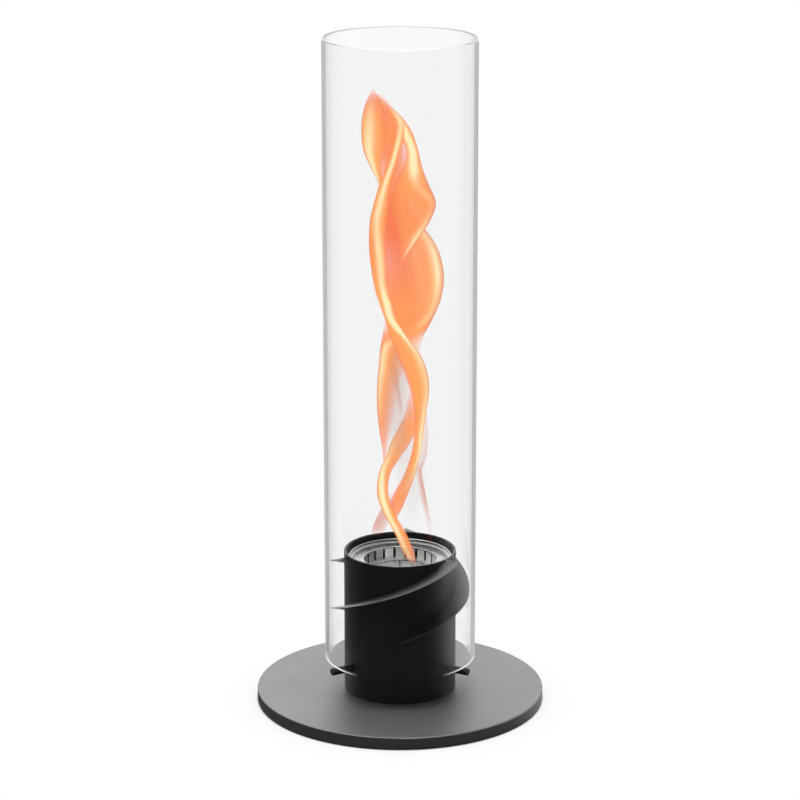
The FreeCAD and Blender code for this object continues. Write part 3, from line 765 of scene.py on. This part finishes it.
def gas_at(u, row, soft, fade, outline):
    """Glow, thickness, redness and outline at a place across a ribbon, from -1 to 1."""
    edge = outside(u, EDGE_SHARE)
    lean = max(-1.0, min(1.0, row.across / OUTLINE_ACROSS + 2 * row.side))
    outer = (1 + math.copysign(1.0, u) * lean) / 2
    inner = (1 - outer) * outside(u, SOFT_EDGE_SHARE) ** 1.5
    from_glow = u - row.side
    spread = min(GLOW_SHARE, GLOW_WIDTH / ribbon_half(row))
    pale = row.glow * math.exp(-((from_glow / spread) ** 2)) * (1 - 0.7 * edge)
    thin = (1 - 0.3 * edge) * (1 - 0.6 * inner) * (1 - fade * u * u)
    thin *= 1 - soft * min(1.0, abs(from_glow) / 1.7) ** 1.5
    red = row.red + 0.5 * edge + 0.6 * inner
    return limit(pale), limit(row.thick) * thin, limit(red), outline * outer * outside(u, OUTLINE_SHARE)


def ribbon(name, rows, finish, soft=0.0, fade=0.0, outline=0.6):
    """A thin closed ribbon of flame, drawn up from its foot section by section.

    A soft one thins out away from its glow, and a faded one towards both edges.
    The edge that is near its glow, or else further from the axis, is outlined, and the other one is soft.
    """
    bm = bmesh.new()
    gas = bm.verts.layers.float_color.new("gas")
    ring = bmesh.ops.create_circle(bm, cap_ends=True, segments=RIBBON_SIDES, radius=1.0)["verts"]
    cap = ring[0].link_faces[0]
    was = Matrix.Identity(4)
    count = RIBBON_STEPS * (len(rows) - 1)
    for step in range(count + 1):
        row = between(rows, step / count)
        now = ribbon_place(row)
        if step:
            made = bmesh.ops.extrude_face_region(bm, geom=[cap])["geom"]
            # The first cap closes the foot, and the later ones would be left inside
            if step > 1:
                bmesh.ops.delete(bm, geom=[cap], context="FACES_ONLY")
            ring = [item for item in made if isinstance(item, bmesh.types.BMVert)]
            cap = next(item for item in made if isinstance(item, bmesh.types.BMFace))
        bmesh.ops.transform(bm, matrix=now @ was.inverted(), verts=ring)
        was = now
        back = now.inverted()
        for vertex in ring:
            vertex[gas] = gas_at((back @ vertex.co).x, row, soft, fade, outline)
    piece = add_piece(bm, name, finish, "burner")
    piece.visible_diffuse = False
    piece.visible_glossy = False
    piece.visible_shadow = False


# Studio
FLOOR_HALF = 4.0
SHADE_REACH = 60.0 * MM
CONTACT_REACH = 4.0 * MM
FLOOR_MIRROR_LIMIT = 0.8

# Where the white wall starts on the left and ends on the right, in radians from straight behind:
# in the world, and on the floor that metal and glass mirror
WORLD_WALL = (-1.2, 1.25)
FLOOR_WALL = (-0.55, 1.8)
WALL_LEFT_BLEND = 0.4
WALL_RIGHT_BLEND = 0.55
WALL_LEVEL = 2.6
WALL_FALL = 0.4
DARK_LEVEL = 0.06
CEILING = (0.45, 0.85)

# Light that only turned within the glass wall: passes, angle to straight behind, brightness
WITHIN_PASSES = (2.4, 2.6)
WITHIN_ANGLE = (1.58, 2.0)
WITHIN_LEVEL = 0.45

# What light that isn't mirrored gets: a share of the wall, and an even light
SOFT_WALL_SHARE = 0.2
EVEN_LEVEL = 0.3


def studio_level(x, y, z, left, right):
    """How bright the studio is in a direction: white from left round to right and above, else dark."""
    turn = x.angle(y)
    starts = turn.rise(left - WALL_LEFT_BLEND, left + WALL_LEFT_BLEND)
    ends = turn.rise(right - WALL_RIGHT_BLEND, right + WALL_RIGHT_BLEND)
    dark = (1 - starts * (1 - ends)) * (1 - z.rise(*CEILING))
    return (WALL_LEVEL - WALL_FALL * turn) * (1 - dark) + DARK_LEVEL * dark


def seen_white(f, x, y):
    """How far a ray sees the white studio, whether it's any other ray, and whether it was mirrored.

    Rays straight from the camera or through glass see it, and dimmer those that only turned within
    the glass wall and leave it backwards.
    """
    camera = f.node("LightPath", None, None, "Is Camera Ray")
    through, glossy, diffuse = f.others(camera, "Is Transmission Ray", "Glossy Depth", "Diffuse Depth")
    (passed,) = f.others(camera, "Transmission Depth")
    mirrored = glossy.least(1.0)
    backwards = 1 - x.angle(y).apart(*WITHIN_ANGLE)
    within = through * mirrored * (1 - passed.rise(*WITHIN_PASSES)) * backwards
    straight = (camera + through).least(1.0) * (1 - mirrored) * (1 - diffuse.least(1.0))
    return straight + WITHIN_LEVEL * within, 1 - straight - within, mirrored


def studio_world():
    """White to the camera, a wall behind for reflections, and even soft light."""
    world = bpy.data.worlds.new("studio")
    scene.world = world
    world.cycles.sampling_method = "NONE"
    f = Finish(world)
    x, y, z = f.split(f.node("TexCoord", None, None, "Generated"))
    seen, other, mirrored = seen_white(f, x, y)
    wall = studio_level(x, y, z, *WORLD_WALL) * (SOFT_WALL_SHARE + (1 - SOFT_WALL_SHARE) * mirrored)
    level = seen + other * (wall + EVEN_LEVEL * (1 - mirrored))
    f.join(f.tree.nodes["Background"].inputs["Color"], level)
    f.join(f.tree.nodes["Background"].inputs["Strength"], 1.0)


def studio_floor():
    """A white floor with a soft shade close to the object."""
    bm = bmesh.new()
    bmesh.ops.create_grid(bm, x_segments=1, y_segments=1, size=FLOOR_HALF)
    mesh = bpy.data.meshes.new("floor")
    bm.to_mesh(mesh)
    bm.free()
    floor = bpy.data.objects.new("floor", mesh)
    scene.collection.objects.link(floor)
    f = new_finish("white_floor")
    f.set(Base_Color=grey(0.85), Roughness=0.9)
    x, y, z = f.split(f.place())
    seen, other, mirrored = seen_white(f, x, y)
    open_sky = f.node("AmbientOcclusion", {"samples": 8}, {"Distance": SHADE_REACH}, "AO")
    contact = f.node("AmbientOcclusion", {"samples": 8}, {"Distance": CONTACT_REACH}, "AO")
    shade = open_sky.rise(0.05, 0.55) * (0.82 + 0.18 * open_sky) * (0.3 + 0.7 * contact.rise(0.45, 0.62))
    wall = studio_level(x, y, z, *FLOOR_WALL).least(FLOOR_MIRROR_LIMIT)
    level = shade * (seen + other * mirrored * wall)
    glow = f.node("Emission", None, {"Color": level})
    lit = Value(f, f.surface.outputs["BSDF"])
    mixed = f.node("MixShader", None, {0: 1 - other * (1 - mirrored), 1: lit, 2: glow})
    f.join(f.tree.nodes["Material Output"].inputs["Surface"], mixed)
    f.owner.cycles.emission_sampling = "NONE"
    mesh.materials.append(f.owner)


def soft_lamp(name, place, aim, width, height, brightness):
    """A softbox that the camera doesn't see."""
    light = bpy.data.lights.new(name, "AREA")
    light.shape = "RECTANGLE"
    light.size = width
    light.size_y = height
    light.energy = brightness * math.pi * width * height
    lamp = bpy.data.objects.new(name, light)
    lamp.location = place
    lamp.rotation_euler = (Vector(aim) - Vector(place)).to_track_quat("-Z", "Y").to_euler()
    lamp.visible_camera = False
    lamp.visible_transmission = False
    scene.collection.objects.link(lamp)


# Camera
LENS = 135.38
SENSOR_WIDTH = 36.0
CAMERA_PLACE = (0.0, -2.2691, 0.8878)
CAMERA_LOOKS_DOWN = 15.749


def photo_camera():
    """The camera, where it stood for the photograph."""
    view = bpy.data.cameras.new("photo_camera")
    view.lens = LENS
    view.sensor_width = SENSOR_WIDTH
    camera = bpy.data.objects.new("photo_camera", view)
    camera.location = CAMERA_PLACE
    camera.rotation_euler = (math.radians(90.0 - CAMERA_LOOKS_DOWN), 0.0, 0.0)
    scene.collection.objects.link(camera)
    scene.camera = camera


scene.view_settings.view_transform = "Standard"
photo_camera()

dress(
    black_coat("black_coat", grey(0.002), grey(0.0035), 1.45, grey(0.12), rim_painted_highlight),
    "housing_sleeve", "housing_floor", "glass_pin_1", "glass_pin_2", "glass_pin_3",
)
dress(
    black_coat("plate_coat", grey(0.016), grey(0.020), 1.65, (0.045, 0.045, 0.046), plate_painted_light),
    "base_plate",
)
dress(
    black_coat("vane_coat", grey(0.003), grey(0.005), 1.5, (0.55, 0.55, 0.552), vane_painted_light),
    "air_vane_1", "air_vane_2", "air_vane_3",
)
dress(clear_glass(), "glass_cylinder")
dress(spun_steel(), "burner_can", "burner_lid", "mesh_ring", "port_grommet", "gauge_tube")
dress(zinc_plate(), "base_screws")
dress(foot_rubber(), "rubber_foot_1", "rubber_foot_2", "rubber_foot_3", "rubber_foot_4")
dress(sealed_cork(), "level_float")
dress(pin_steel(), "level_pin")
woven_mesh(wire_steel())
packed_wool(ceramic_fibre())

gas = flame_gas("flame_gas", FLAME_ORANGE, FLAME_RED)
wisp = flame_gas("flame_wisp", FLAME_ORANGE, FLAME_DIM)
smoke = flame_gas("flame_smoke", FLAME_SMOKE, FLAME_DIM)
ribbon("flame_front", FRONT_STRAND, gas)
ribbon("flame_long", LONG_STRAND, gas)
ribbon("flame_left", LEFT_STRAND, gas, soft=0.75)
ribbon("flame_upper", UPPER_STRAND, gas, soft=0.45)
ribbon("flame_top", TOP_LOBE, gas, soft=0.5)
ribbon("flame_inner", INNER_SHEET, gas, fade=1.0, outline=0.0)
ribbon("flame_low_wisp", LOW_WISP, wisp, soft=0.6, outline=0.0)
ribbon("flame_middle_wisp", MIDDLE_WISP, wisp, soft=0.9, outline=0.0)
ribbon("flame_haze", HAZE, smoke, fade=1.0, outline=0.0)
ribbon("flame_right_wisp", RIGHT_WISP, wisp, soft=0.9, outline=0.0)

studio_world()
studio_floor()
soft_lamp("right_softbox", (1.5, 0.6, 0.9), (0.0, 0.0, 0.15), width=0.8, height=1.4, brightness=1.5)
soft_lamp("top_softbox", (-0.25, -0.35, 2.2), (0.0, 0.0, 0.2), width=1.4, height=1.4, brightness=9.0)
